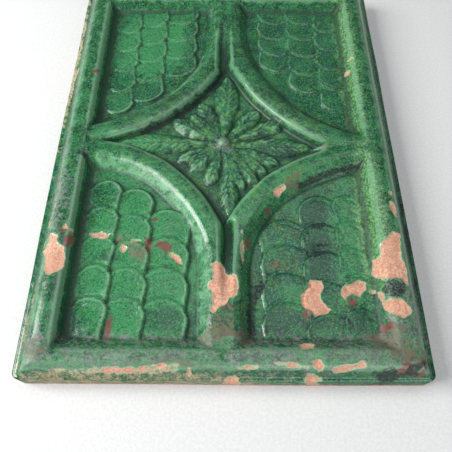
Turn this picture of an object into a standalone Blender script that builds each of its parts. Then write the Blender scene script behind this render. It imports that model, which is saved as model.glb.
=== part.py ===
"""Relief stove tile, lying on its back with its face up: one piece of pressed and fired clay.

Metres. The origin is the middle of the flat back, +Z points out of the face and +Y up the tile.
The face is a raised frame around a four-pointed star. Four curved ribs bound the star, a leafy
rosette fills it, and each corner field behind a rib is covered with overlapping scales.
"""

import math

import bmesh
import bpy
from mathutils import Matrix, Vector
from mathutils.geometry import interpolate_bezier

# Outline and thickness of the tile
tile_width = 0.200
tile_height = 0.271
corner_radius = 0.0035
edge_height = 0.008             # upright bare clay edge, from the back to the glazed slope

# Heights of the face above the back
arris_height = 0.0172           # outer edge of the frame, at the top of the glazed slope
frame_shoulder_height = 0.0185
frame_height = 0.019            # crown of the frame
frame_lip_height = 0.0186       # inner edge of the frame
frame_wall_height = 0.0130      # foot of the steep inner wall, where it bends out into the ground
ground_height = 0.011           # ground of the star and of the corner fields

# Rails of the frame, each place measured inwards from the edge of the tile
side_arris = 0.0078
side_shoulder = 0.0100
side_crown = 0.0140
side_lip = 0.0188
side_wall = 0.0210
side_foot = 0.024
end_arris = 0.0050
end_shoulder = 0.0068
end_crown = 0.0095
end_lip = 0.0133
end_wall = 0.0178
end_foot = 0.019

# Ribs: a low roll between two flanks, each flank with a foot on the side of the scales
rib_height = 0.0182             # crown of the roll above the back
rib_edge_drop = 0.0014          # from the crown down to the edges
rib_flank_run = 0.0020          # steep flank towards the star
rib_slope_run = 0.0045          # slope down to the scales
rib_foot_run = 0.0028
rib_foot_height = 0.0010        # above the ground
rib_steps = 18                  # stations along the curved stretch

# Where each rib runs, as shares of the panel's half width and half height: the point where it
# leaves the side rail, two handles that bow it round its corner field, and the point where it
# turns straight along the stem to the end rail
rib_paths = {
    "lower_left": ((-1.13, -0.047), (-0.532, -0.022), (-0.050, -0.364), (-0.030, -0.687)),
    "lower_right": ((1.13, -0.049), (0.400, -0.130), (0.060, -0.380), (0.017, -0.687)),
    "upper_left": ((-1.13, 0.041), (-0.869, 0.067), (-0.057, 0.240), (-0.037, 0.790)),
    "upper_right": ((1.13, -0.021), (0.504, 0.052), (0.054, 0.445), (0.034, 0.790)),
}
stem_reach = 1.07
# Width of each roll from edge to edge, uneven as the mould was cut by hand
rib_faces = {"lower_left": 0.0108, "lower_right": 0.0124, "upper_left": 0.0110, "upper_right": 0.0117}

# Webs that close the side tips of the star between two ribs, as shares, and their height
webs = (
    ((-0.905, 0.010), (-1.13, 0.070), (-1.13, -0.060)),
    ((0.700, -0.028), (0.920, 0.010), (1.13, 0.000), (1.13, -0.060), (0.920, -0.065)),
)
web_height = 0.0170
trough_start = 0.0004           # floor of a trough above the ground where it begins

# Troughs that run on from the star's end tips between the ribs of each stem: where each begins and
# fades out, and its four lines across, all as shares
troughs = (
    (-0.465, -0.860, (-0.062, 0.000, 0.036, 0.086)),
    (0.505, 0.900, (-0.090, -0.036, 0.010, 0.066)),
)

# Columns of scales in each field, again as shares: outer side, inner side, height of the round
# end nearest to the star and of the one nearest to the end rail, and how many scales there are
scale_columns = {
    "lower_left": ((-0.965, -0.763, -0.215, -0.807, 5), (-0.763, -0.520, -0.266, -0.815, 5),
                   (-0.520, -0.240, -0.378, -0.820, 4)),
    "lower_right": ((0.965, 0.785, -0.292, -0.858, 5), (0.785, 0.535, -0.300, -0.884, 5),
                    (0.535, 0.250, -0.429, -0.833, 4)),
    "upper_left": ((-0.965, -0.763, 0.206, 0.815, 5), (-0.763, -0.525, 0.288, 0.867, 5),
                   (-0.525, -0.255, 0.464, 0.893, 4)),
    "upper_right": ((0.965, 0.785, 0.232, 0.833, 5), (0.785, 0.535, 0.352, 0.901, 5),
                    (0.535, 0.280, 0.515, 0.901, 4)),
}
scale_rise = 0.0028             # free edge of a scale above the ground
scale_root = 0.0003             # root of a scale above the ground
scale_lap = 0.0012              # how far a scale runs in under its neighbours
round_end = 0.50                # depth of the round end as a share of the scale's full width
scale_hidden = 0.25             # share of the column's width that a scale has under its outer neighbour
scale_waist = 0.0024            # how far the free side draws in again towards the root
round_steps = 8

# Rosette: a boss, and leaves that spread from it over the ground of the star
boss_radius = 0.0046
boss_height = 0.0058            # above the ground
boss_place = (-0.008, 0.004)    # shares of the panel's half width and half height
leaf_edge = 0.0011              # rim of a leaf above the ground
leaf_crown = 0.0040             # middle of a leaf above the ground
leaf_layer = 0.0003             # how far every second leaf lies above its neighbours
leaf_neck = 0.30                # width at the boss as a share of the full width
leaf_start = 0.55               # where a leaf comes out from under the boss, as a share of its radius
leaf_widest = 0.70              # where a leaf is widest, as a share of its reach
leaf_steps = 7
# Leaves into the points of the star: direction in degrees, then reach from the boss and width as
# shares of the panel's half width
long_leaves = ((-3, 0.710, 0.190), (88, 0.750, 0.215), (179, 0.860, 0.205), (-85, 0.715, 0.165))
# Lobes of the leaves between them, given in the same way
lobes = (
    (51, 0.454, 0.160), (26, 0.590, 0.150), (-24, 0.475, 0.130), (-40, 0.440, 0.130),
    (-56, 0.465, 0.140), (-71, 0.455, 0.110), (-108, 0.400, 0.130), (-137, 0.360, 0.150),
    (-156, 0.410, 0.120), (150, 0.490, 0.160), (133, 0.420, 0.125), (116, 0.480, 0.170),
)

buried = 0.003                  # how far a raised form reaches down into the tile

panel_half_width = tile_width / 2 - side_foot
panel_half_height = tile_height / 2 - end_foot
base = ground_height - buried


def clear_scene():
    for thing in list(bpy.data.objects):
        bpy.data.objects.remove(thing)


def new_collection(name):
    collection = bpy.data.collections.new(name)
    bpy.context.scene.collection.children.link(collection)
    return collection


def glaze():
    """Green glaze over red clay."""
    material = bpy.data.materials.new("green glaze")
    material.use_nodes = True
    shader = material.node_tree.nodes["Principled BSDF"]
    shader.inputs["Base Color"].default_value = (0.035, 0.16, 0.07, 1.0)
    shader.inputs["Roughness"].default_value = 0.25
    shader.inputs["Metallic"].default_value = 0.0
    return material


def place(share):
    """Point on the panel from its shares of the half width and half height."""
    return Vector((share[0] * panel_half_width, share[1] * panel_half_height, 0.0))


def finish_mesh(bm, name):
    bmesh.ops.recalc_face_normals(bm, faces=bm.faces)
    mesh = bpy.data.meshes.new(name)
    bm.to_mesh(mesh)
    bm.free()
    return mesh


def add_form(name, mesh, collection):
    """A raised form that the tile takes up, shown as a wire guide."""
    form = bpy.data.objects.new(name, mesh)
    form.display_type = "WIRE"
    form.hide_render = True
    collection.objects.link(form)
    return form


def tile_body():
    """Slab with rounded corners, then the glazed slope, the frame's crown and the sunk panel."""
    bm = bmesh.new()
    bmesh.ops.create_cube(bm, size=1.0)
    bmesh.ops.scale(bm, vec=(tile_width, tile_height, edge_height), verts=bm.verts)
    bmesh.ops.translate(bm, vec=(0.0, 0.0, edge_height / 2), verts=bm.verts)
    upright = [e for e in bm.edges if abs(e.verts[0].co.z - e.verts[1].co.z) > edge_height / 2]
    bmesh.ops.bevel(bm, geom=upright, offset=corner_radius, segments=4, profile=0.5,
                    affect="EDGES", material=-1)
    top = max(bm.faces, key=lambda face: face.calc_center_median().z)
    rings = (
        (side_arris, end_arris, arris_height),
        (side_shoulder, end_shoulder, frame_shoulder_height),
        (side_crown, end_crown, frame_height),
        (side_lip, end_lip, frame_lip_height),
        (side_wall, end_wall, frame_wall_height),
        (side_foot, end_foot, ground_height),
    )
    half_width, half_height, height = tile_width / 2, tile_height / 2, edge_height
    for side_inset, end_inset, ring_height in rings:
        top = bmesh.ops.extrude_discrete_faces(bm, faces=[top])["faces"][0]
        new_half_width = tile_width / 2 - side_inset
        new_half_height = tile_height / 2 - end_inset
        narrower = (new_half_width / half_width, new_half_height / half_height, 1.0)
        bmesh.ops.scale(bm, vec=narrower, verts=top.verts)
        bmesh.ops.translate(bm, vec=(0.0, 0.0, ring_height - height), verts=top.verts)
        half_width, half_height, height = new_half_width, new_half_height, ring_height
    return finish_mesh(bm, "tile")


def rib_section(face):
    """Cross-section of a rib, from its flank towards the star across to its foot among the scales."""
    half = face / 2
    edge = rib_height - rib_edge_drop
    shoulder = rib_height - 0.25 * rib_edge_drop
    foot = half + rib_slope_run
    return (
        (-half - rib_flank_run, base),
        (-half - rib_flank_run, ground_height),
        (-half, edge),
        (-0.55 * half, shoulder),
        (0.0, rib_height),
        (0.60 * half, shoulder),
        (half, edge),
        (foot, ground_height + rib_foot_height),
        (foot + rib_foot_run, ground_height + 0.2 * rib_foot_height),
        (foot + rib_foot_run, base),
    )


def polyline(name, points, closed):
    curve = bpy.data.curves.new(name, "CURVE")
    curve.dimensions = "2D"
    curve.fill_mode = "NONE"
    spline = curve.splines.new("POLY")
    spline.points.add(len(points) - 1)
    for point, place_of_it in zip(spline.points, points):
        point.co = (place_of_it[0], place_of_it[1], 0.0, 1.0)
    spline.use_cyclic_u = closed
    return curve


def rib_mesh(name, path, section, guides):
    """Rib swept along its path, with its foot always on the side of the corner field."""
    start, first_handle, second_handle, stem = (place(share) for share in path)
    points = interpolate_bezier(start, first_handle, second_handle, stem, rib_steps)
    points.append(Vector((stem.x, math.copysign(stem_reach * panel_half_height, stem.y), 0.0)))
    if start.x * stem.y > 0:
        points.reverse()
    curve = polyline(name, points, closed=False)
    curve.bevel_mode = "OBJECT"
    curve.bevel_object = section
    curve.use_fill_caps = True
    rib = bpy.data.objects.new(name, curve)
    guides.objects.link(rib)
    bpy.context.view_layer.update()
    swept = rib.evaluated_get(bpy.context.evaluated_depsgraph_get())
    bm = bmesh.new()
    bm.from_mesh(bpy.data.meshes.new_from_object(swept))
    bmesh.ops.remove_doubles(bm, verts=bm.verts, dist=1e-6)
    bpy.data.objects.remove(rib)
    return finish_mesh(bm, name)


def scale_mesh(name, outer, inner, tip, length, away):
    """One scale: a tongue whose round end, towards the star, and inner side stand free."""
    width = abs(inner - outer)
    towards_inner = math.copysign(1.0, inner - outer)
    full_half = width * (1 + scale_hidden) / 2
    depth = round_end * 2 * full_half
    first_angle = math.acos(1 - scale_hidden * width / full_half)
    back = tip + away * length
    bm = bmesh.new()
    outline = [bm.verts.new((outer - scale_lap * towards_inner, back, base))]
    for step in range(round_steps + 1):
        angle = first_angle + (math.pi - first_angle) * step / round_steps
        across = inner - towards_inner * full_half * (1 + math.cos(angle))
        outline.append(bm.verts.new((across, tip + away * depth * (1 - math.sin(angle)), base)))
    outline[1].co.x -= scale_lap * towards_inner
    outline.append(bm.verts.new((inner - scale_waist * towards_inner, back, base)))
    raised = bmesh.ops.extrude_face_region(bm, geom=[bm.faces.new(outline)], use_keep_orig=True)
    for vert in (thing for thing in raised["geom"] if isinstance(thing, bmesh.types.BMVert)):
        inwards = (vert.co.x - outer) * towards_inner / width
        forwards = (back - vert.co.y) * away / length
        slope = 0.5 * (inwards + forwards)
        vert.co.z = ground_height + scale_root + (scale_rise - scale_root) * slope
    return finish_mesh(bm, name)


def leaf_half_width(along, tip_power):
    """Half width of a leaf as a share of its widest, along its reach from the boss."""
    if along < leaf_widest:
        return leaf_neck + (1 - leaf_neck) * math.sin(math.pi / 2 * along / leaf_widest) ** 1.6
    return max(0.05, 1 - ((along - leaf_widest) / (1 - leaf_widest)) ** tip_power)


def leaf_mesh(direction, reach_share, width_share, tip_power, layer):
    """One leaf of the rosette: a neck at the boss, a full end and a crown along its middle."""
    reach = reach_share * panel_half_width
    width = width_share * panel_half_width
    start = leaf_start * boss_radius
    rim = ground_height + leaf_edge + leaf_layer * layer
    bm = bmesh.new()
    bmesh.ops.create_grid(bm, x_segments=leaf_steps, y_segments=4, size=0.5)
    for vert in bm.verts:
        along = vert.co.x + 0.5
        across = 2 * vert.co.y
        share = leaf_half_width(along, tip_power)
        rise = (leaf_crown - leaf_edge) * (1 - abs(across) ** 1.6) * share ** 0.5
        vert.co = (start + along * (reach - start), across * share * width / 2, rim + rise)
    sunk = bmesh.ops.extrude_face_region(bm, geom=bm.faces[:], use_keep_orig=True)
    for vert in (thing for thing in sunk["geom"] if isinstance(thing, bmesh.types.BMVert)):
        vert.co.z = base
    turn = Matrix.Rotation(math.radians(direction), 4, "Z")
    bmesh.ops.transform(bm, matrix=Matrix.Translation(place(boss_place)) @ turn, verts=bm.verts)
    return finish_mesh(bm, "leaf")


def boss_mesh():
    bm = bmesh.new()
    bmesh.ops.create_uvsphere(bm, u_segments=16, v_segments=8, radius=1.0)
    bmesh.ops.scale(bm, vec=(boss_radius, boss_radius, boss_height), verts=bm.verts)
    centre = place(boss_place) + Vector((0.0, 0.0, ground_height))
    bmesh.ops.translate(bm, vec=centre, verts=bm.verts)
    return finish_mesh(bm, "boss")


def web_mesh(shares):
    bm = bmesh.new()
    floor = [bm.verts.new(place(share) + Vector((0.0, 0.0, base))) for share in shares]
    raised = bmesh.ops.extrude_face_region(bm, geom=[bm.faces.new(floor)], use_keep_orig=True)
    top = [thing for thing in raised["geom"] if isinstance(thing, bmesh.types.BMVert)]
    bmesh.ops.translate(bm, vec=(0.0, 0.0, web_height - base), verts=top)
    return finish_mesh(bm, "web")


def trough_mesh(begin, end, lines):
    """Wedge that hollows a stem: its floor climbs from the star's ground to the top of the ribs."""
    bm = bmesh.new()
    ends = ((begin, ground_height + trough_start), (end, rib_height))
    corners = []
    for share_y, floor_height in ends:
        heights = (frame_height + buried, floor_height, floor_height, frame_height + buried)
        corners.append([bm.verts.new(place((share_x, share_y)) + Vector((0.0, 0.0, height)))
                        for share_x, height in zip(lines, heights)])
    near, far = corners
    bm.faces.new(near)
    bm.faces.new(far)
    for step in range(4):
        after = (step + 1) % 4
        bm.faces.new((near[step], near[after], far[after], far[step]))
    return finish_mesh(bm, "trough")


def add_ribs(forms, guides):
    for field, path in rib_paths.items():
        outline = polyline("rib section", rib_section(rib_faces[field]), True)
        section = add_form("rib section", outline, guides)
        add_form("rib " + field, rib_mesh("rib " + field, path, section, guides), forms)
    for shares in webs:
        add_form("web", web_mesh(shares), forms)


def add_scales(forms):
    for field, columns in scale_columns.items():
        away = 1.0 if field.startswith("upper") else -1.0
        for column, (outer, inner, first, last, count) in enumerate(columns):
            pitch = abs(last - first) * panel_half_height / (count - 1)
            outer_x = outer * panel_half_width
            inner_x = inner * panel_half_width
            for row in range(count):
                tip = first * panel_half_height + away * pitch * row
                length = pitch + round_end * (1 + scale_hidden) * abs(inner_x - outer_x) + scale_lap
                room = panel_half_height - abs(tip)
                name = f"scale {field} {column} {row}"
                mesh = scale_mesh(name, outer_x, inner_x, tip, min(length, room), away)
                add_form(name, mesh, forms)


def add_rosette(forms):
    for number, leaf in enumerate(long_leaves):
        add_form(f"leaf {number}", leaf_mesh(*leaf, 1.3, 2), forms)
    for number, lobe in enumerate(lobes):
        add_form(f"lobe {number}", leaf_mesh(*lobe, 2.5, number % 2), forms)
    add_form("boss", boss_mesh(), forms)


def build():
    clear_scene()
    parts = new_collection("stove_tile")
    forms = new_collection("raised_forms")
    hollows = new_collection("hollows")
    guides = new_collection("guides")
    add_ribs(forms, guides)
    add_scales(forms)
    add_rosette(forms)
    for trough in troughs:
        add_form("trough", trough_mesh(*trough), hollows)
    tile = bpy.data.objects.new("tile", tile_body())
    parts.objects.link(tile)
    tile.data.materials.append(glaze())
    relief = tile.modifiers.new("relief", "BOOLEAN")
    relief.operation = "UNION"
    relief.solver = "EXACT"
    relief.operand_type = "COLLECTION"
    relief.collection = forms
    sunk = tile.modifiers.new("troughs", "BOOLEAN")
    sunk.operation = "DIFFERENCE"
    sunk.solver = "EXACT"
    sunk.operand_type = "COLLECTION"
    sunk.collection = hollows


build()
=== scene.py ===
"""Looks of the relief stove tile: its glazed and chipped face, its bare clay, the light and the camera."""

import math

import bmesh
import bpy
import numpy as np
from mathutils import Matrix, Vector, noise
from mathutils.geometry import interpolate_bezier


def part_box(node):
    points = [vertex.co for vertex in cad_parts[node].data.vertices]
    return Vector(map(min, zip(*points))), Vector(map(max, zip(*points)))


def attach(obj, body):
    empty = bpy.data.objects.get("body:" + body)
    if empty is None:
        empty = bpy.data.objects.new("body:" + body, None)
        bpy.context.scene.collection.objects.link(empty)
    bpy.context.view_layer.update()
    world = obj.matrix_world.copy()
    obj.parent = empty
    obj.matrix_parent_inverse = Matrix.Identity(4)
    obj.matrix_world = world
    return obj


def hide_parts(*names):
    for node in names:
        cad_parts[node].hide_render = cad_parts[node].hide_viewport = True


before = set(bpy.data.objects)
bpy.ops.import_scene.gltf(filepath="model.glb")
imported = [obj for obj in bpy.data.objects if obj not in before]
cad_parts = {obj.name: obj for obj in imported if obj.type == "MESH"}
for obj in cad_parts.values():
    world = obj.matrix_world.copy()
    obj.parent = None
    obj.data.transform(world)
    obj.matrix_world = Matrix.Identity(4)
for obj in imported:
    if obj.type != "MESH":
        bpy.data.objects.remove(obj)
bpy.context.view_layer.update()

mm = 0.001

# Size of the tile, from the frame
tile_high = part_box("tile")[1]
half_width = tile_high.x
half_height = tile_high.y
corner_radius = 3.5 * mm
edge_height = 8 * mm
outline_bow = 1.0 * mm          # how far the hand-made edges stray inwards

ground_height = 11 * mm         # ground of the star and of the corner fields

# Rails of the frame: heights of the edge, arris, shoulder, crown, lip, three places down the inner
# wall and the foot, and how far each lies in from the edge of the tile
frame_height = tile_high.z
rail_heights = (edge_height, 17.2 * mm, 18.5 * mm, frame_height, 18.6 * mm, 15.6 * mm, 13.0 * mm,
                11.7 * mm, ground_height)
left_rail = (0, 7.8 * mm, 10.0 * mm, 14.0 * mm, 19.2 * mm, 20.3 * mm, 21.4 * mm, 23.6 * mm, 26.0 * mm)
right_rail = (0, 6.9 * mm, 9.0 * mm, 13.0 * mm, 18.4 * mm, 20.6 * mm, 22.4 * mm, 23.8 * mm, 25.4 * mm)
end_rail = (0, 5.0 * mm, 6.8 * mm, 9.5 * mm, 13.3 * mm, 16.0 * mm, 18.3 * mm, 19.8 * mm, 21.4 * mm)
rail_softness = 0.6 * mm
mitre_softness = 2.0 * mm
frame_join = 1.0 * mm           # fillet where the ribs run into the frame

# The panel inside the rails, by whose half width and half height all shares are measured
side_foot = 24 * mm
end_foot = 19 * mm
panel_half_width = half_width - side_foot
panel_half_height = half_height - end_foot

# Ribs: where each one runs, as shares of the panel's half width and half height (the point where
# it leaves the side rail, two handles that bow it round its corner field, and the point where it
# turns straight along the stem to the end rail), then its width
ribs = {
    "lower_left": (((-1.08, -0.047), (-0.532, -0.022), (-0.050, -0.364), (-0.030, -0.687)), 10.8 * mm),
    "lower_right": (((1.08, -0.049), (0.400, -0.130), (0.060, -0.380), (0.017, -0.687)), 12.4 * mm),
    "upper_left": (((-1.08, 0.041), (-0.869, 0.067), (-0.057, 0.240), (-0.037, 0.790)), 11.0 * mm),
    "upper_right": (((1.08, -0.021), (0.504, 0.052), (0.054, 0.445), (0.034, 0.790)), 11.7 * mm),
}
stem_reach = 1.02
rib_steps = 48
rib_height = 18.2 * mm
rib_edge_drop = 1.4 * mm
rib_shoulder_drop = 0.25 * rib_edge_drop
rib_inner_shoulder = 0.55       # place of each shoulder, as a share of the rib's half width
rib_outer_shoulder = 0.6
rib_flank_run = 2.0 * mm
rib_slope_run = 5.4 * mm        # slope down to the scales
rib_foot_run = 0.9 * mm
rib_foot_height = 0.5 * mm
rib_softness = 0.4 * mm
rib_join = 0.8 * mm             # fillet where two ribs, or a rib and a web, run together
ornament_join = 0.6 * mm        # fillet where the scales and leaves meet them

# Webs that close the side tips of the star, and troughs that hollow the stems, as shares
webs = (
    ((-0.905, 0.010), (-1.13, 0.070), (-1.13, -0.060)),
    ((0.700, -0.028), (0.920, 0.010), (1.13, 0.000), (1.13, -0.060), (0.920, -0.065)),
)
web_height = 17.2 * mm
web_slope = 4.0 * mm
troughs = (
    (-0.465, -0.860, (-0.062, 0.000, 0.036, 0.086)),
    (0.505, 0.900, (-0.090, -0.036, 0.010, 0.066)),
)
trough_start = 0.4 * mm         # floor of a trough above the ground where it begins
trough_rim = 1 * mm             # how far its sides climb past the frame
trough_lift = 60 * mm           # how steeply the cut lifts clear before the trough begins
trough_softness = 1.6 * mm

# Columns of scales in each field, again as shares: outer side, inner side, height of the round
# end nearest to the star and of the one nearest to the end rail, and how many scales there are
scale_columns = {
    "lower_left": ((-0.965, -0.763, -0.215, -0.807, 5), (-0.763, -0.520, -0.266, -0.815, 5),
                   (-0.520, -0.240, -0.378, -0.820, 4)),
    "lower_right": ((0.965, 0.785, -0.292, -0.858, 5), (0.785, 0.535, -0.300, -0.884, 5),
                    (0.535, 0.250, -0.429, -0.833, 4)),
    "upper_left": ((-0.965, -0.763, 0.206, 0.815, 5), (-0.763, -0.525, 0.288, 0.867, 5),
                   (-0.525, -0.255, 0.464, 0.893, 4)),
    "upper_right": ((0.965, 0.785, 0.232, 0.833, 5), (0.785, 0.535, 0.352, 0.901, 5),
                    (0.535, 0.280, 0.515, 0.901, 4)),
}
# Free edge of a scale above the ground: each field is worn and filled with glaze in its own way
scale_rise = {
    "lower_left": 2.9 * mm, "lower_right": 1.6 * mm, "upper_left": 2.4 * mm, "upper_right": 1.9 * mm,
}
scale_lean = 0.60               # share of the rise that is gained from the outer to the inner side
scale_root = 0.2 * mm
scale_lap = 1.2 * mm            # how far a scale runs in under the one behind it
scale_seam = 0.5 * mm           # how far its free side stands over the next column
scale_hidden = 0.25             # share of the column's width that a scale has under its outer neighbour
scale_waist = 1.6 * mm          # how far the free side draws in again towards the root
waist_start = 0.7               # where it begins to, as a share of the round end's depth
waist_cut = 0.2                 # what the round end takes off its length, as a share of that depth
scale_edge_run = 1.1 * mm       # how softly the glaze rounds the free edge
scale_edge_start = 0.3          # share of that run that lies outside the edge
scale_line_inset = 2.6 * mm     # thin line cut along the free edge
scale_line_width = 0.45 * mm
scale_line_depth = 0.28 * mm
scale_line_fade = (2.2, 1.4)    # where the line fades away from the round end, and how fast
crease_place = 0.8 * mm         # outside the free edge
crease_width = 0.8 * mm
crease_depth = 0.40 * mm
round_end = 0.50                # depth of the round end as a share of the scale's full width
end_slant = 1.6                 # how the distance to the round end is measured where it runs aslant
end_slant_fade = 1.3

# Rosette: leaves into the points of the star and lobes between them, as direction in degrees,
# then reach from the boss and width as shares of the panel's half width
boss_radius = 4.6 * mm
boss_height = 5.8 * mm
boss_place = (-0.008, 0.004)
leaf_edge = 0.9 * mm
leaf_crown = 3.7 * mm
leaf_neck = 0.30                # width at the boss as a share of the full width
leaf_widest = 0.70              # where a leaf is widest, as a share of its reach
leaf_least = 0.04               # least width, as a share of the full width
leaf_start = 0.02               # how far a leaf runs in under the boss, as a share of its reach
leaf_roundness = 1.6            # power of the curve across a leaf, and of the one that widens it
leaf_droop = (1.1, 0.3)         # height of the crown at the boss, and how much of it the tip loses
leaf_rim_run = 2.2 * mm         # how softly the rim falls to the ground
leaf_rim_start = 0.25
fold_depth = 0.75 * mm          # fold along the middle of a leaf
fold_width = 0.8 * mm
fold_start = (5.0, 1.2)         # how fast the fold deepens from the boss, and where it begins
vein_depth = 0.22 * mm
vein_spacing = 4.2 * mm
vein_slant = 1.3
vein_clearance = 1.2 * mm       # how far the veins keep from the fold
long_leaf_tip = 1.3             # power of the curve that closes the end: the larger, the rounder
lobe_tip = 2.5
boss_join = 0.6 * mm
long_leaves = ((-3, 0.710, 0.190), (88, 0.750, 0.215), (179, 0.860, 0.205), (-85, 0.715, 0.165))
lobes = (
    (51, 0.454, 0.160), (26, 0.590, 0.150), (-24, 0.475, 0.130), (-40, 0.440, 0.130),
    (-56, 0.465, 0.140), (-71, 0.455, 0.110), (-108, 0.400, 0.130), (-137, 0.360, 0.150),
    (-156, 0.410, 0.120), (150, 0.490, 0.160), (133, 0.420, 0.125), (116, 0.480, 0.170),
)

# Unevenness of the hand-pressed face: how far it strays, over what distance, and its seed
unevenness = {
    "form_x": (0.7 * mm, 16 * mm, 3.0),
    "form_y": (0.7 * mm, 16 * mm, 11.0),
    "leaf_x": (1.1 * mm, 6 * mm, 31.0),
    "leaf_y": (1.1 * mm, 6 * mm, 37.0),
    "worked_leaves": (0.5 * mm, 3.4 * mm, 41.0),
    "wide": (0.16 * mm, 11 * mm, 5.0),
    "fine": (0.08 * mm, 4 * mm, 7.0),
}
face_sink = 0.20 * mm           # keeps the uneven face within the thickness of the tile
outline_waves = 55 * mm
outline_seeds = (17.0, 23.0)
edges_apart = 200 * mm          # keeps the waves of opposite edges from being alike

# Where the worked leaves end: the start of the fall, the fall, and how much faster it is along y
star_fade = (1.6, 2.0, 1.6)

# Rounding of a profile: points along it, then how widely and in how many steps each is averaged
profile_steps = 3001
rounding_reach = 2.5
rounding_steps = 21

# Mesh of the face: cells across and along each part, from one edge of the tile to the other
side_rail_cells = 26
end_rail_cells = 20
panel_cells_x = 206
panel_cells_y = 316
edge_rows = 3
hollow_reach = 2.5              # in cells, for telling proud places from hollows
hollow_margin = 3.0 * mm        # along the outline, where this means nothing
hollow_start = 0.6

# Depths inside the marks below, in millimetres
far_outside = 50.0              # stands for anywhere well away from a mark
outline_window = 25             # how far from the middle of an outline its depth is worked out
deepest_mark = 30

# Damage and wear on the face, with patches of painted light and shade among them, in millimetres from
# the middle of the tile: the larger chips as outlines, the bands along the ribs as the rib, the
# distance from its line, half the width and the range of x, and everything else as ellipses (centre
# x, centre y, half length, half width, turn in degrees)
chip_outlines = (
    ((88.2, -60.1), (91.8, -61.9), (90.0, -74.4), (91.8, -82.1), (90.9, -90.4), (88.6, -86.4),
     (79.7, -86.0), (76.7, -82.2), (77.3, -74.5), (80.4, -73.9), (80.8, -67.7), (85.0, -64.2)),
    ((77.8, -91.8), (78.9, -92.8), (79.4, -97.4), (85.8, -97.4), (90.0, -101.4), (90.0, -103.9),
     (86.1, -106.9), (81.7, -105.0), (78.9, -101.0), (77.9, -94.9)),
    ((89.4, -41.9), (91.8, -44.3), (91.7, -51.1), (90.3, -49.9), (89.1, -45.6)),
    ((43.2, -85.6), (49.8, -85.3), (50.0, -88.8), (48.1, -93.1), (49.2, -97.3), (52.9, -100.4),
     (51.3, -102.4), (45.2, -103.7), (42.5, -101.5), (38.9, -98.4), (39.3, -93.2), (42.9, -88.9)),
    ((60.1, -88.6), (64.8, -87.7), (68.1, -85.5), (72.1, -86.0), (71.4, -89.8), (68.2, -93.0),
     (64.2, -92.5), (60.4, -95.1), (59.9, -93.0)),
    ((35.1, -119.7), (38.4, -118.3), (42.6, -119.2), (41.0, -121.5), (36.4, -121.5)),
    ((41.2, -127.6), (44.1, -126.2), (46.6, -129.4), (44.1, -131.2), (41.5, -129.9)),
    ((50.6, -130.7), (53.5, -129.6), (59.0, -129.3), (63.9, -127.2), (65.8, -129.0), (58.7, -130.8),
     (52.3, -131.5)),
    ((-91.2, -62.3), (-87.3, -64.0), (-87.2, -67.5), (-82.5, -70.9), (-81.6, -76.5), (-81.7, -82.0),
     (-84.4, -83.7), (-88.5, -85.8), (-90.9, -81.0), (-90.9, -75.5), (-94.3, -71.0), (-91.3, -67.5)),
    ((-72.6, -59.1), (-66.8, -58.6), (-62.3, -60.0), (-62.1, -61.8), (-66.3, -62.2), (-70.7, -61.2)),
    ((-6.2, -79.1), (-4.2, -77.9), (-2.2, -78.5), (-0.4, -80.1), (-0.1, -82.9), (1.9, -84.2),
     (5.7, -84.7), (6.9, -87.6), (6.9, -91.9), (5.9, -95.3), (2.7, -96.8), (0.5, -100.2),
     (-2.4, -101.9), (-4.8, -104.2), (-6.5, -103.7), (-5.8, -100.2), (-5.2, -96.1), (-6.2, -93.5),
     (-7.8, -90.9), (-7.3, -88.8), (-5.6, -88.0), (-5.1, -84.5)),
    ((26.5, -35.2), (29.4, -32.9), (32.6, -30.9), (33.6, -32.4), (31.2, -35.0), (28.8, -37.6), (27.1, -37.4)),
    ((77.3, 58.5), (79.7, 57.3), (79.0, 54.2), (77.0, 55.4)),
)
chips = (
    (-53.4, -68.2, 2.0, 1.7, 90), (-25.6, -73.4, 3.4, 1.3, -45), (-47.5, -63.5, 2.0, 0.7, 0),
    (80.9, 65.9, 1.0, 0.8, 0), (90.5, -36.6, 1.0, 0.9, 0), (75.5, -91.6, 1.2, 0.8, 0),
    (-16, -131.7, 1.0, 1.2, 0), (41.6, -134.2, 3.4, 1.3, 0), (4, -134.8, 3, 1.2, 10),
    (-45, -131.3, 18, 0.8, 1), (-30, -130.2, 5, 0.8, 6), (32, -129.2, 4.5, 0.7, -6), (12, -130.2, 3, 0.6, 0),
    (9.3, -69, 4.0, 0.5, 90), (-97, 60, 1.8, 0.9, 80), (-84, -58.5, 0.9, 1.4, 0), (-81, -60, 0.8, 0.8, 0),
)
chip_depth = 0.6 * mm
chip_slope = 0.7                # width of a chip's edge in millimetres
chip_start = 0.3                # share of it that lies outside the outline
rust_spots = (
    (-81.3, -66.0, 4.0, 1.9, 95), (-84.4, -60.5, 1.8, 1.3, 0), (-31.4, -67.2, 4.6, 2.8, -30),
    (-40.6, -66.0, 4.6, 1.7, 100), (-24, -76, 1.6, 1.2, 0), (-56.2, -109.8, 4.2, 1.5, 85),
    (64.5, -97.2, 2.6, 2.3, 0), (40.5, -102.8, 3.0, 2.2, 100), (78.4, -110.4, 2.4, 2.2, 0),
    (83, -130.2, 3.6, 2.0, 20), (92, -131, 3.4, 1.4, 60), (24, -46, 1.6, 1.2, 0), (-38, -50, 1.4, 1.0, 0),
    (12, -66, 1.4, 3.0, 10), (-36, 17, 1.8, 0.8, -30), (16, -98, 1.3, 1.0, 0), (-83, 53, 2.4, 1.4, 30),
)
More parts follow.
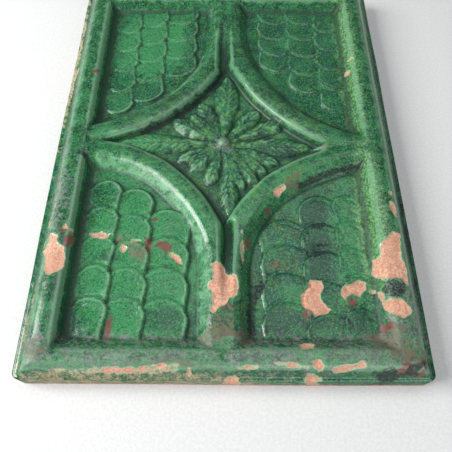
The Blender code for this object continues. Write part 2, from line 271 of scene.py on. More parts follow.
scars = (
    (-46.0, -69.5, 7.5, 4.2, -40), (37.8, -28.5, 5.5, 3.0, 45), (1.5, -101.5, 5, 2.6, 20),
    (0, -110, 8, 4.5, -20), (10, -115, 6, 3, -30), (-6.5, -116, 4.5, 5.0, 0), (78, -116, 8, 5, 20),
    (-58, -62, 3, 1.0, 10), (84, -122, 7, 5, 20),
    (26, -77, 5, 2, 0), (-88, -122, 5, 4, 0), (90, -128, 6, 3, 60), (-22, -129, 12, 1.6, 0),
)
# Soot, and painted shade: dark patches where faces turn away from the light, beside the stem and on the right
# outer face
soot_and_shade_spots = (
    (76, -133, 7, 2.2, 0), (88, -130.5, 6, 2.0, 20), (84.8, -92.0, 5.8, 4.6, 0), (97.5, -60, 34, 2.0, 90),
    (-80.5, -11.5, 3.4, 1.8, -20), (18.3, -89, 7.0, 2.3, 62), (14.0, -103, 12, 2.6, 88),
    (50, -53.8, 4.5, 1.4, 0), (49, -65.2, 4.5, 1.2, 0), (50, -70, 5, 1.4, 0),
)
# Painted shade: dark bands along the shaded sides of two ribs
painted_shade_lines = (("upper_left", -7.2, 1.2, -52, 0), ("lower_right", 8.8, 1.5, 42, 78))
# Painted highlights: pale bands along the lit slopes of the two left ribs
painted_highlight_lines = (("lower_left", 7.2, 2.3, -74, -7), ("upper_left", 8.6, 2.4, -76, -16))
# Blue pools of glaze, partly painted shade: the band down the inner lip of the left rail and the one over the
# middle column of the lower right scales are painted shade
blue_pools_and_shade = (
    (27, -106, 9, 7, 0), (45, -106, 7, 5, 0), (66, -106, 8, 6, 0), (3, -72, 4, 14, 0), (35, -5, 9, 5, -20),
    (-27, -12, 5, 4, 30), (-30, -106, 9, 6, 0), (48.5, -60, 34, 8.0, 90), (-81.8, -75, 50, 3.4, 90),
    (-10, 20, 8, 6, 40), (-40, 27, 20, 1.6, 28), (-61, -73, 5, 3, 0), (40, 5, 6, 3, 20),
)
dull_spots = (
    (-88, -122, 9, 7, 60), (-1.8, -0.6, 5.5, 4.5, 0), (-48, -126, 30, 5, 0), (20, -126, 34, 5, 0),
    (70, -122, 26, 8, 0), (-90, -40, 26, 4, 95), (88, -104, 9, 20, 0), (-10, -117.5, 78, 2.6, 0),
)
cream_spots = ((-98.6, 74, 58, 1.0, 90),)
# Pale glaze, and painted sheen: the wide patch over the lower left scales stands for the light that falls on
# that field
pale_and_sheen_spots = (
    (-44, -76, 34, 46, 0), (-50, -24, 30, 10, -25), (-22, -46, 24, 9, -50), (-50, 85, 24, 30, 0),
    (40, -26, 24, 8, 30), (-52, 1, 18, 8, 0), (68, -60, 30, 7, 90),
)
star_spots = ((0, 0, 60, 42, 0),)
# Vivid glaze, and painted light: the inner wall of the right rail faces the light and is painted brighter
vivid_and_lit_spots = ((79.5, 72, 62, 5.5, 90), (79.2, -50, 46, 7.0, 90), (78, -78, 8, 4, 90))
olive_spots = (
    (-70, -134.0, 28, 2.6, 0), (-20, -134.2, 40, 1.8, 0), (-96, -110, 18, 1.2, 85), (-93, -50, 16, 0.9, 85),
)


def smooth_step(value):
    """0 below 0, 1 above 1, and a soft rise between."""
    t = np.clip(value, 0.0, 1.0)
    return t * t * (3.0 - 2.0 * t)


def soft_max(first, second, width):
    """The larger of two heights, with a small fillet of the given width where they meet."""
    blend = np.clip(0.5 + 0.5 * (first - second) / width, 0.0, 1.0)
    return second + (first - second) * blend + width * blend * (1.0 - blend) * 0.5


def soft_min(first, second, width):
    return -soft_max(-first, -second, width)


def softened(places, heights, softness):
    """Function for the height along a profile, with its corners rounded as glaze rounds them."""
    reach = places[-1] - places[0]
    fine = np.linspace(places[0] - reach, places[-1] + reach, profile_steps)
    straight = np.interp(fine, places, heights)
    offsets = np.linspace(-rounding_reach, rounding_reach, rounding_steps)
    weights = np.exp(-0.5 * offsets ** 2)
    rounded = sum(w * np.interp(fine + o * softness, fine, straight) for o, w in zip(offsets, weights))
    rounded = rounded / weights.sum()
    return lambda at: np.interp(at, fine, rounded)


def lumps(x, y, size, seed):
    """Soft uneven field between about -1 and 1, as a hand-pressed surface has."""
    at = Vector((seed, 2.0 * seed, 0.5))
    return np.array([noise.noise(Vector((px / size, py / size, 0.0)) + at) for px, py in zip(x, y)])


def waves(x, y, name):
    """One kind of unevenness."""
    reach, size, seed = unevenness[name]
    return reach * lumps(x, y, size, seed)


def place(share):
    """Point on the panel from its shares of the half width and half height."""
    return Vector((share[0] * panel_half_width, share[1] * panel_half_height, 0.0))


def frame_relief(x, y):
    """Height of the frame: the rails of the two sides, mitred with those of the two ends."""
    from_side = half_width - np.abs(x)
    from_end = half_height - np.abs(y)
    beyond = np.maximum(from_end - end_rail[-1], 0.0)
    relief = np.zeros(x.shape)
    for rail, here in ((left_rail, x < 0), (right_rail, x >= 0)):
        depth = soft_min(from_side, np.interp(from_end, end_rail, rail) + beyond, mitre_softness)
        profile = softened(rail, rail_heights, rail_softness)
        relief = np.where(here, profile(depth), relief)
    return relief


def rib_offset(x, y, path):
    """Distance from the line of a rib, counted positive on the side of its corner field."""
    start, first_handle, second_handle, stem = (place(share) for share in path)
    points = interpolate_bezier(start, first_handle, second_handle, stem, rib_steps)
    points.append(Vector((stem.x, math.copysign(stem_reach * panel_half_height, stem.y), 0.0)))
    nearest = np.full(x.shape, np.inf)
    offset = np.full(x.shape, np.inf)
    field_side = -1.0 if start.x > 0 else 1.0
    for here, there in zip(points, points[1:]):
        run = there - here
        along = np.clip(((x - here.x) * run.x + (y - here.y) * run.y) / run.length_squared, 0.0, 1.0)
        dx = x - here.x - along * run.x
        dy = y - here.y - along * run.y
        distance = np.hypot(dx, dy)
        side = np.sign(run.y * dx - run.x * dy) * field_side * math.copysign(1.0, -stem.y)
        closer = distance < nearest
        nearest = np.where(closer, distance, nearest)
        offset = np.where(closer, distance * np.where(side == 0, 1.0, side), offset)
    return offset


def rib_relief(x, y):
    relief = np.full(x.shape, ground_height)
    edge = rib_height - rib_edge_drop
    shoulder = rib_height - rib_shoulder_drop
    for path, face in ribs.values():
        half = face / 2
        places = (-half - rib_flank_run, -half, -rib_inner_shoulder * half, 0, rib_outer_shoulder * half,
                  half, half + rib_slope_run, half + rib_slope_run + rib_foot_run)
        heights = (ground_height, edge, shoulder, rib_height, shoulder, edge,
                   ground_height + rib_foot_height, ground_height)
        section = softened(places, heights, rib_softness)
        relief = soft_max(relief, section(rib_offset(x, y, path)), rib_join)
    return relief


def web_relief(x, y):
    relief = np.full(x.shape, ground_height)
    for shares in webs:
        corners = [place(share) for share in shares]
        turn = math.copysign(1.0, (corners[1] - corners[0]).cross(corners[2] - corners[1]).z)
        inside = np.full(x.shape, np.inf)
        for here, there in zip(corners, corners[1:] + corners[:1]):
            run = there - here
            inside = np.minimum(inside, turn * (run.x * (y - here.y) - run.y * (x - here.x)) / run.length)
        rise = smooth_step(inside / web_slope + 0.5)
        relief = np.maximum(relief, ground_height + (web_height - ground_height) * rise)
    return relief


def trough_cut(x, y, relief):
    """Hollows the stems where the star's end tips run out between the ribs."""
    for begin, end, lines in troughs:
        across = [line * panel_half_width for line in lines]
        along = (y / panel_half_height - begin) / (end - begin)
        climb = np.clip(along, 0.0, 1.0) * (rib_height - ground_height - trough_start)
        floor = ground_height + trough_start + climb
        left = np.interp(x, across[:2], (1.0, 0.0))
        right = np.interp(x, across[2:], (0.0, 1.0))
        cut = floor + (frame_height + trough_rim - floor) * np.maximum(left, right)
        cut = cut + trough_lift * np.maximum(-along, 0.0)
        relief = soft_min(relief, cut, trough_softness)
    return relief


def scale_relief(x, y):
    """Overlapping scales: each rises from its root to its round end and to its inner side."""
    relief = np.full(x.shape, ground_height)
    for field, columns in scale_columns.items():
        away = 1.0 if field.startswith("upper") else -1.0
        for outer, inner, first, last, count in columns:
            outer_x, inner_x = outer * panel_half_width, inner * panel_half_width
            width = abs(inner_x - outer_x)
            pitch = abs(last - first) * panel_half_height / (count - 1)
            inwards = (x - outer_x) * math.copysign(1.0, inner_x - outer_x)
            for row in range(count):
                tip = first * panel_half_height + away * pitch * row
                hidden = scale_hidden * width
                depth = round_end * (width + hidden)
                length = pitch + depth + scale_lap
                from_tip = (y - tip) * away
                root = smooth_step((from_tip - waist_start * depth) / (pitch - waist_cut * depth))
                own_width = width + scale_seam - scale_waist * root
                across = np.clip(2.0 * (inwards + hidden) / (own_width + hidden) - 1.0, -1.0, 1.0)
                end = depth * (1.0 - np.sqrt(1.0 - across ** 2))
                fade = smooth_step(end_slant_fade - from_tip / depth)
                slant = np.sqrt(1.0 + (end_slant * across * fade) ** 2)
                inside = np.minimum((from_tip - end) / slant, own_width - inwards)
                inside = np.where((inwards > -hidden) & (from_tip < length), inside, -1.0)
                sideways = np.clip(inwards / own_width, 0.0, 1.0)
                slope = scale_lean * sideways + (1.0 - scale_lean) * (1.0 - from_tip / length)
                line = np.exp(-((inside - scale_line_inset) / scale_line_width) ** 2)
                line = line * smooth_step(scale_line_fade[0] - scale_line_fade[1] * from_tip / depth)
                top = scale_root + (scale_rise[field] - scale_root) * slope - scale_line_depth * line
                height = ground_height + top * smooth_step(inside / scale_edge_run + scale_edge_start)
                crease = crease_depth * np.exp(-((inside + crease_place) / crease_width) ** 2)
                covered = inside > -scale_edge_start * scale_edge_run
                relief = np.where(covered, np.maximum(relief, height), relief - crease)
    return relief


def leaf_relief(x, y, direction, reach_share, width_share, tip_power):
    """One leaf of the rosette, with a neck at the boss, a full end and a crown along its middle."""
    reach = reach_share * panel_half_width
    width = width_share * panel_half_width
    centre = place(boss_place)
    turn = math.radians(direction)
    along = ((x - centre.x) * math.cos(turn) + (y - centre.y) * math.sin(turn)) / reach
    off = (y - centre.y) * math.cos(turn) - (x - centre.x) * math.sin(turn)
    on_leaf = np.clip(along, 0.0, 1.0)
    swell = np.sin(np.pi / 2 * np.minimum(on_leaf / leaf_widest, 1.0)) ** leaf_roundness
    end = np.clip((on_leaf - leaf_widest) / (1.0 - leaf_widest), 0.0, 1.0) ** tip_power
    share = np.maximum(leaf_least, (leaf_neck + (1.0 - leaf_neck) * swell) * (1.0 - end))
    half = share * width / 2
    across = np.clip(np.abs(off) / half, 0.0, 1.0)
    inside = np.minimum(half - np.abs(off), np.minimum(along + leaf_start, 1.0 - along) * reach)
    rise = (leaf_crown - leaf_edge) * (1.0 - across ** leaf_roundness) * np.sqrt(share)
    rise = rise * (leaf_droop[0] - leaf_droop[1] * on_leaf)
    fold = fold_depth * np.exp(-(off / fold_width) ** 2)
    fold = fold * smooth_step(fold_start[0] * on_leaf - fold_start[1])
    veins = vein_depth * np.sin(2 * np.pi * (on_leaf * reach - vein_slant * np.abs(off)) / vein_spacing)
    height = leaf_edge + rise - fold + veins * smooth_step(np.abs(off) / vein_clearance) * share
    return ground_height + height * smooth_step(inside / leaf_rim_run + leaf_rim_start)


def rosette_relief(x, y):
    relief = np.full(x.shape, ground_height)
    for leaf in long_leaves:
        relief = np.maximum(relief, leaf_relief(x, y, *leaf, long_leaf_tip))
    for lobe in lobes:
        relief = np.maximum(relief, leaf_relief(x, y, *lobe, lobe_tip))
    centre = place(boss_place)
    round_off = np.clip(1.0 - np.hypot(x - centre.x, y - centre.y) ** 2 / boss_radius ** 2, 0.0, 1.0)
    return soft_max(relief, ground_height + boss_height * np.sqrt(round_off), boss_join)


def ellipse_depth(x, y, spots):
    """Distance inside the nearest of several ellipses, in millimetres, negative outside."""
    depth = np.full(x.shape, -far_outside)
    for centre_x, centre_y, long_half, short_half, turn in spots:
        angle = math.radians(turn)
        dx = x / mm - centre_x
        dy = y / mm - centre_y
        along = dx * math.cos(angle) + dy * math.sin(angle)
        off = dy * math.cos(angle) - dx * math.sin(angle)
        radial = np.hypot(along / long_half, off / short_half)
        depth = np.maximum(depth, (1.0 - radial) * short_half)
    return depth


def outline_depth(x, y, outlines):
    """Distance inside the nearest of several outlines, in millimetres, negative outside."""
    depth = np.full(x.shape, -far_outside)
    for outline in outlines:
        corners = np.array(outline)
        middle_x, middle_y = corners.mean(axis=0)
        near = (np.abs(x / mm - middle_x) < outline_window) & (np.abs(y / mm - middle_y) < outline_window)
        px, py = x[near] / mm, y[near] / mm
        distance = np.full(px.shape, far_outside)
        within = np.zeros(px.shape, dtype=bool)
        for (ax, ay), (bx, by) in zip(corners, np.roll(corners, -1, axis=0)):
            run_x, run_y = bx - ax, by - ay
            along = np.clip(((px - ax) * run_x + (py - ay) * run_y) / (run_x ** 2 + run_y ** 2), 0, 1)
            distance = np.minimum(distance, np.hypot(px - ax - along * run_x, py - ay - along * run_y))
            if run_y:
                crosses = ((ay > py) != (by > py)) & (px < ax + (py - ay) * run_x / run_y)
                within ^= crosses
        depth[near] = np.maximum(depth[near], np.where(within, distance, -distance))
    return depth


def line_depth(x, y, lines):
    """Distance inside the nearest of several bands that follow the ribs, in millimetres."""
    depth = np.full(x.shape, -far_outside)
    for name, offset, half_band, from_x, to_x in lines:
        across = half_band - np.abs(rib_offset(x, y, ribs[name][0]) / mm - offset)
        along = np.minimum(x / mm - from_x, to_x - x / mm)
        depth = np.maximum(depth, np.minimum(across, along))
    return depth


def bared_depth(x, y):
    """Distance inside the nearest chip, in millimetres, negative outside."""
    return np.maximum(outline_depth(x, y, chip_outlines), ellipse_depth(x, y, chips))


def axis_places(half, rail, rail_cells, panel_cells):
    """Places of the grid's lines along one axis, closer together on the panel than on the rails."""
    outer = np.linspace(-half, -half + rail, rail_cells + 1)
    panel = np.linspace(-half + rail, half - rail, panel_cells + 1)
    return np.concatenate([outer[:-1], panel, -outer[-2::-1]])


def shaped_outline(x, y):
    """Draws the square grid in to the rounded corners and the slightly uneven edges of the tile."""
    dx = np.abs(x) - (half_width - corner_radius)
    dy = np.abs(y) - (half_height - corner_radius)
    corner = (dx > 0) & (dy > 0)
    length = np.hypot(dx, dy)
    shrink = np.where(corner, np.maximum(dx, dy) / np.where(corner, length, 1.0), 1.0)
    new_x = np.where(corner, np.sign(x) * (half_width - corner_radius + dx * shrink), x)
    new_y = np.where(corner, np.sign(y) * (half_height - corner_radius + dy * shrink), y)
    side_bow = 0.5 + 0.5 * lumps(np.sign(x) * edges_apart, y, outline_waves, outline_seeds[0])
    end_bow = 0.5 + 0.5 * lumps(x, np.sign(y) * edges_apart, outline_waves, outline_seeds[1])
    new_x = new_x * (1.0 - outline_bow / half_width * side_bow)
    new_y = new_y * (1.0 - outline_bow / half_height * end_bow)
    return new_x, new_y


def face_relief(x, y):
    """Height of the moulded and glazed face, a little uneven everywhere as a hand-pressed one is."""
    warp_x = x + waves(x, y, "form_x")
    warp_y = y + waves(x, y, "form_y")
    leaf_x = warp_x + waves(x, y, "leaf_x")
    leaf_y = warp_y + waves(x, y, "leaf_y")
    start, fall, fall_y = star_fade
    away = np.abs(x) / panel_half_width + fall_y * np.abs(y) / panel_half_height
    star = smooth_step(start - fall * away)
    worked = star * waves(x, y, "worked_leaves")
    ornament = np.maximum(scale_relief(warp_x, warp_y), rosette_relief(leaf_x, leaf_y) + worked)
    raised = soft_max(rib_relief(warp_x, warp_y), web_relief(x, y), rib_join)
    relief = soft_max(ornament, raised, ornament_join)
    relief = soft_max(frame_relief(x, y), relief, frame_join)
    relief = trough_cut(warp_x, y, relief)
    uneven = waves(x, y, "wide") + waves(x, y, "fine")
    chipped = chip_depth * smooth_step(bared_depth(x, y) / chip_slope + chip_start)
    return relief + uneven - face_sink - chipped


def tile_mesh():
    """Closed mesh of the tile: the moulded face, the upright edge and the flat back."""
    columns = axis_places(half_width, side_foot, side_rail_cells, panel_cells_x)
    rows = axis_places(half_height, end_foot, end_rail_cells, panel_cells_y)
    bm = bmesh.new()
    bmesh.ops.create_grid(bm, x_segments=len(columns) - 1, y_segments=len(rows) - 1, size=0.5)
    grid = np.array([v.co.xy for v in bm.verts])
    column = np.rint((grid[:, 0] + 0.5) * (len(columns) - 1)).astype(int)
    row = np.rint((grid[:, 1] + 0.5) * (len(rows) - 1)).astype(int)
    x, y = shaped_outline(columns[column], rows[row])
    z = face_relief(x, y)
    for vert, vx, vy, vz in zip(bm.verts, x, y, z):
        vert.co = (vx, vy, vz)
    sheet = np.zeros((len(rows), len(columns)))
    sheet[row, column] = z
    inset = np.minimum(half_width - np.abs(x), half_height - np.abs(y))
    hollow = (sheet - blurred(sheet, hollow_reach))[row, column] / mm
    hollow = hollow * smooth_step(inset / hollow_margin - hollow_start)
    rim = [edge for edge in bm.edges if edge.is_boundary]
    for step in range(edge_rows):
        wall = bmesh.ops.extrude_edge_only(bm, edges=rim)["geom"]
        lower = edge_height * (1.0 - (step + 1) / edge_rows)
        for vert in (thing for thing in wall if isinstance(thing, bmesh.types.BMVert)):
            vert.co.z = lower
        rim = [thing for thing in wall if isinstance(thing, bmesh.types.BMEdge)]
    back = bmesh.ops.edgeloop_fill(bm, edges=rim)["faces"]
    bmesh.ops.recalc_face_normals(bm, faces=bm.faces)
    for face in bm.faces:
        face.smooth = True
    for face in back:
        face.smooth = False
        face.material_index = 1
    mesh = bpy.data.meshes.new("tile")
    bm.to_mesh(mesh)
    bm.free()
    mark_wear_and_painted_light(mesh, hollow)
    return mesh


def blurred(sheet, reach):
    """The sheet of heights with everything smaller than the reach, in cells, smoothed away."""
    margin = math.ceil(3 * reach)
    weights = np.exp(-0.5 * (np.arange(-margin, margin + 1) / reach) ** 2)
    weights /= weights.sum()
    for axis in (0, 1):
        padding = [(0, 0), (0, 0)]
        padding[axis] = (margin, margin)
        padded = np.pad(sheet, padding, mode="edge")
        count = sheet.shape[axis]
        sheet = sum(w * np.take(padded, np.arange(s, s + count), axis) for s, w in enumerate(weights))
    return sheet


def mark_wear_and_painted_light(mesh, hollow):
    """Attributes for the glaze: how far a point stands proud, and the depth inside each kind of wear and each
    patch of painted light and shade.
    """
    places = np.empty(len(mesh.vertices) * 3)
    mesh.vertices.foreach_get("co", places)
    x, y = places.reshape(-1, 3)[:, :2].T
    marks = {
        "proud": np.concatenate([hollow, np.zeros(len(x) - len(hollow))]),
        "chip": bared_depth(x, y),
        "rust": ellipse_depth(x, y, rust_spots),
        "scar": ellipse_depth(x, y, scars),
        "soot_and_shade": np.maximum(ellipse_depth(x, y, soot_and_shade_spots), line_depth(x, y, painted_shade_lines)),
        "blue_and_shade": ellipse_depth(x, y, blue_pools_and_shade),
        "dull": ellipse_depth(x, y, dull_spots),
        "olive": ellipse_depth(x, y, olive_spots),
        "cream": ellipse_depth(x, y, cream_spots),
        "pale_and_sheen": ellipse_depth(x, y, pale_and_sheen_spots),
        "painted_highlight": line_depth(x, y, painted_highlight_lines),
        "vivid_and_lit": ellipse_depth(x, y, vivid_and_lit_spots),
        "star": ellipse_depth(x, y, star_spots),
    }
    for name, values in marks.items():
        attribute = mesh.attributes.new(name, "FLOAT", "POINT")
        attribute.data.foreach_set("value", values.clip(-deepest_mark, deepest_mark))


def add_piece(name, mesh, slot_name, *replaced):
    piece = bpy.data.objects.new(name, mesh)
    bpy.context.scene.collection.objects.link(piece)
    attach(piece, "root")
    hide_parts(*replaced)
    return piece


# Colours, as they look on a screen
deep_glaze = (8, 54, 30)
clear_glaze = (20, 90, 52)
fresh_glaze = (58, 136, 82)
# Thin glaze on edges, also used for painted highlights and glints
thin_glaze_and_highlight = (134, 182, 144)
pooled_glaze = (6, 44, 26)
# Vivid glaze, brightened as painted light on the lit wall
vivid_and_lit_glaze = (124, 172, 108)
olive_glaze = (70, 112, 48)
teal_glaze = (12, 74, 58)
# Dark blue of pooled glaze, also used as painted shade
blue_glaze = (6, 48, 40)
dull_film = (122, 140, 120)
purple_film = (124, 114, 124)
olive_film = (160, 148, 118)
cream_wash = (196, 180, 150)
rust_stain = (110, 60, 56)
scar_brown = (100, 92, 72)
# Soot, and painted shade on faces turned from the light
soot_and_shade_black = (8, 18, 24)
clay_light = (210, 168, 144)
clay_dark = (182, 128, 102)
clay_dirt = (134, 118, 96)
chip_rim = (206, 206, 170)
floor_colours = ((208, 208, 207), (216, 216, 215))

# Patterns in the glaze and in the clay: how fine each is, how much detail it has and how rough
glaze_patterns = {
    "cloud": (55.0, 3.0, 0.6),
    "shade": (120.0, 2.0, 0.5),
    "patch": (200.0, 2.0, 0.5),
    "mottle": (210.0, 3.0, 0.6),
    "stain": (240.0, 4.0, 0.75),
    "tint": (300.0, 2.0, 0.6),
    "dust": (560.0, 4.0, 0.8),
    "speck": (820.0, 2.5, 0.75),
    "glint": (1350.0, 1.0, 0.5),
}
clay_grain = (900.0, 3.0, 0.7)
clay_cloud = (90.0, 2.0, 0.5)
clay_pores = (260.0, 4.0, 0.65)
clay_smoke = (22.0, 4.0, 0.6)
torn_edge = (240.0, 3.0, 0.6)
floor_grain = (700.0, 2.0, 0.7)

# How far the edge of each kind of wear, and of each patch of painted light and shade, is torn and how softly
# it ends, in millimetres
mark_edges = {
    "pale_and_sheen": (4.0, 7.0), "star": (3.0, 5.0), "painted_highlight": (1.2, 1.8), "vivid_and_lit": (1.6, 3.0), "blue_and_shade": (1.5, 2.5),
    "dull": (3.0, 3.0), "olive": (0.8, 0.8), "cream": (0.6, 0.5), "scar": (1.6, 0.9), "rust": (0.8, 0.4),
    "soot_and_shade": (1.0, 0.8), "chip": (0.35, 0.12),
}

# Colours laid one over another: the area that has the colour (None is everywhere), the pattern that
# thins it (None is an even share), the low and high end of that pattern's range, the share of the
# colour at each end, and the colour, or the name of one that is itself laid up. The spread of the
# dull film gives the same two ranges for the dust in it
glaze_layers = (
    (None, "mottle", (0.36, 0.64), (0.0, 1.0), clear_glaze),
    ("low_ground", "shade", (0.44, 0.62), (0.0, 0.8), teal_glaze),
    (None, "tint", (0.54, 0.66), (0.0, 0.45), olive_glaze),
    (None, "tint", (0.34, 0.46), (0.45, 0.0), teal_glaze),
    (None, "cloud", (0.48, 0.72), (0.0, 0.45), fresh_glaze),
    # pale glaze, and painted sheen
    ("pale_and_sheen", None, None, 0.6, fresh_glaze),
    ("star", "patch", (0.50, 0.64), (0.0, 0.7), olive_glaze),
    ("star", "patch", (0.34, 0.46), (0.6, 0.0), blue_glaze),
    # painted highlight on the lit slopes of the ribs
    ("painted_highlight", "mottle", (0.35, 0.6), (0.25, 0.6), thin_glaze_and_highlight),
    (None, "cloud", (0.22, 0.42), (0.35, 0.0), pooled_glaze),
    (None, "speck", (0.50, 0.64), (0.0, 0.6), fresh_glaze),
    # blue pools of glaze, and painted shade
    ("blue_and_shade", None, None, 0.62, blue_glaze),
    (None, "speck", (0.36, 0.47), (0.65, 0.0), pooled_glaze),
    # vivid glaze, and painted light on the wall of the right rail
    ("vivid_and_lit", "speck", (0.44, 0.60), (0.15, 0.70), vivid_and_lit_glaze),
    # painted glints: pale specks that stand for highlights
    (None, "glint", (0.54, 0.72), (0.0, 0.3), thin_glaze_and_highlight),
    (None, "rubbed", (0.20, 0.70), (0.0, 0.35), thin_glaze_and_highlight),
    (None, "rubbed", (-0.75, -0.15), (0.7, 0.0), pooled_glaze),
)
film_layers = (
    (None, "stain", (0.44, 0.58), (0.0, 1.0), purple_film),
    (None, "speck", (0.44, 0.54), (0.5, 0.0), deep_glaze),
)
olive_film_layers = ((None, "speck", (0.44, 0.54), (0.5, 0.0), deep_glaze),)
film_spread = (0.42, 0.58, 0.10, 0.80)
# Wear laid over the glaze, with soot and painted shade among it
wear_and_shade_layers = (
    ("film_share", None, None, 1.0, "film"),
    ("olive", "tint", (0.40, 0.58), (0.25, 0.85), "olive_film"),
    ("cream", "speck", (0.40, 0.56), (0.40, 0.85), cream_wash),
    ("scar", "grime", (0.88, 1.12), (0.15, 0.95), scar_brown),
    ("rust", None, None, 0.85, rust_stain),
    # soot, and painted shade
    ("soot_and_shade", "speck", (0.42, 0.62), (0.95, 0.55), soot_and_shade_black),
    ("rim", None, None, 0.55, chip_rim),
)

# Heights above the back at which the low ground gives way to the ornament, the glaze begins over
# the bare foot of the edge, and the edge ends in the slope, then how far the glaze's lower border
# runs up and down
low_ground_end = (0.0135, 0.0165)
glaze_start = (0.0014, 0.0026)
edge_top = (0.0078, 0.0090)
glaze_run = (-0.0012, 0.0012)

# Roughness of the glaze at the two ends of its mottle, and of the places that shine less
glaze_roughness = (0.09, 0.25)
hollow_roughness = 0.5
edge_roughness = 0.5
star_roughness = 0.40
low_edge_roughness = 0.45
film_roughness = 0.55
stain_roughness = 0.6
clay_roughness = 0.9
back_roughness = 0.92
floor_roughness = 0.8

# Bump of the glaze and of the bare back: strength and depth
glaze_bump = {"Strength": 0.48, "Distance": 0.00022}
back_bump = {"Strength": 0.6, "Distance": 0.0004}


def paint(colour):
    """Blender's linear colour for a colour given as it looks on a screen."""
    shares = (value / 255 for value in colour)
    return (*((s / 12.92 if s <= 0.04045 else ((s + 0.055) / 1.055) ** 2.4) for s in shares), 1.0)


def add_node(tree, kind, inputs, **settings):
    """Node with its settings, each input given as a value or as the socket that feeds it."""
    node = tree.nodes.new(kind)
    for name, value in settings.items():
        setattr(node, name, value)
    for name, value in inputs.items():
        if isinstance(value, bpy.types.NodeSocket):
            tree.links.new(value, node.inputs[name])
        else:
            node.inputs[name].default_value = value
    return node


def pattern(tree, at, scale, detail, roughness):
    """Cloudy pattern between 0 and 1, the finer the larger its scale."""
    inputs = {"Vector": at, "Scale": scale, "Detail": detail, "Roughness": roughness}
    return add_node(tree, "ShaderNodeTexNoise", inputs).outputs["Fac"]


def ramped(tree, value, low, high, to_low=0.0, to_high=1.0):
    """The value's range from low to high, spread softly over a new range."""
    inputs = {"Value": value, "From Min": low, "From Max": high, "To Min": to_low, "To Max": to_high}
    return add_node(tree, "ShaderNodeMapRange", inputs, interpolation_type="SMOOTHSTEP").outputs["Result"]


def worked_out(tree, operation, first, second):
    return add_node(tree, "ShaderNodeMath", {0: first, 1: second}, operation=operation).outputs[0]


def sum_of(tree, first, second):
    return worked_out(tree, "ADD", first, second)


def product_of(tree, first, second):
    return worked_out(tree, "MULTIPLY", first, second)


def mixed(tree, share, first, second):
    """First colour with a share of the second laid over it."""
    colours = [paint(c) if isinstance(c, tuple) else c for c in (first, second)]
    inputs = {0: share, 6: colours[0], 7: colours[1]}
    return add_node(tree, "ShaderNodeMix", inputs, data_type="RGBA").outputs[2]


def levelled(tree, share, first, second):
    """First value, moved towards the second by a share."""
    return add_node(tree, "ShaderNodeMix", {0: share, 2: first, 3: second}, data_type="FLOAT").outputs[0]


def new_group(name, inputs, outputs):
    group = bpy.data.node_groups.new(name, "ShaderNodeTree")
    for socket_name, kind, value in inputs:
        socket = group.interface.new_socket(socket_name, in_out="INPUT", socket_type=kind)
        if value is not None:
            socket.default_value = value
    for socket_name, kind in outputs:
        group.interface.new_socket(socket_name, in_out="OUTPUT", socket_type=kind)
    start = group.nodes.new("NodeGroupInput").outputs
    end = group.nodes.new("NodeGroupOutput").inputs
    return group, start, end


def fired_clay_group():
    """Grainy red clay that has fired pale, with dirt in its pores."""
    group, given, result = new_group(
        "fired clay",
        (("Vector", "NodeSocketVector", None), ("Dirt", "NodeSocketFloat", 0.3)),
        (("Color", "NodeSocketColor"), ("Height", "NodeSocketFloat")),
    )
    at = given["Vector"]
    grain = pattern(group, at, *clay_grain)
    cloud = pattern(group, at, *clay_cloud)
    body = mixed(group, ramped(group, grain, 0.38, 0.62), clay_dark, clay_light)
    body = mixed(group, ramped(group, cloud, 0.35, 0.65, 0.0, 0.35), body, clay_dark)
    pores = ramped(group, pattern(group, at, *clay_pores), 0.5, 0.72)
    dirt = product_of(group, pores, given["Dirt"])
    group.links.new(mixed(group, dirt, body, clay_dirt), result["Color"])
    group.links.new(sum_of(group, grain, ramped(group, cloud, 0.3, 0.7)), result["Height"])
    return group


def ragged_edge_group():
    """Mask of a mark whose attribute holds the depth inside it in millimetres, with a torn edge."""
    group, given, result = new_group(
        "ragged edge",
        (("Vector", "NodeSocketVector", None), ("Depth", "NodeSocketFloat", -1.0),
         ("Raggedness", "NodeSocketFloat", 1.0), ("Softness", "NodeSocketFloat", 0.1)),
        (("Mask", "NodeSocketFloat"), ("Rim", "NodeSocketFloat")),
    )
    at = given["Vector"]
    coarse = ramped(group, pattern(group, at, *torn_edge), 0.2, 0.8, -1.6, 1.6)
    torn = product_of(group, coarse, given["Raggedness"])
    depth = sum_of(group, given["Depth"], torn)
    softness = given["Softness"]
    mask = ramped(group, depth, product_of(group, softness, -1.0), softness)
    group.links.new(mask, result["Mask"])
    outside = ramped(group, depth, -0.7, -0.05)
    group.links.new(worked_out(group, "SUBTRACT", outside, mask), result["Rim"])
    return group


def place_group(tree, group, inputs):
    node = tree.nodes.new("ShaderNodeGroup")
    node.node_tree = group
    for name, value in inputs.items():
        if isinstance(value, bpy.types.NodeSocket):
            tree.links.new(value, node.inputs[name])
        else:
            node.inputs[name].default_value = value
    return node.outputs


def mark(tree, name):
    return add_node(tree, "ShaderNodeAttribute", {}, attribute_name=name).outputs["Fac"]


def marked_area(tree, at, ragged_edge, name):
    """Mask and rim of one marked area, be it wear or a patch of painted light and shade."""
    raggedness, softness = mark_edges[name]
    inputs = {"Vector": at, "Depth": mark(tree, name), "Raggedness": raggedness, "Softness": softness}
    return place_group(tree, ragged_edge, inputs)


def layered(tree, fields, colour, layers):
    """Colour with the layers laid over it one after another."""
    for area, field, reach, strength, over in layers:
        share = ramped(tree, fields[field], *reach, *strength) if field else strength
        if area:
            share = product_of(tree, fields[area], share)
        colour = mixed(tree, share, colour, fields[over] if isinstance(over, str) else over)
    return colour


def new_material(name):
    material = bpy.data.materials.new(name)
    material.use_nodes = True
    tree = material.node_tree
    at = tree.nodes.new("ShaderNodeTexCoord").outputs["Object"]
    return material, tree, at, tree.nodes["Principled BSDF"]


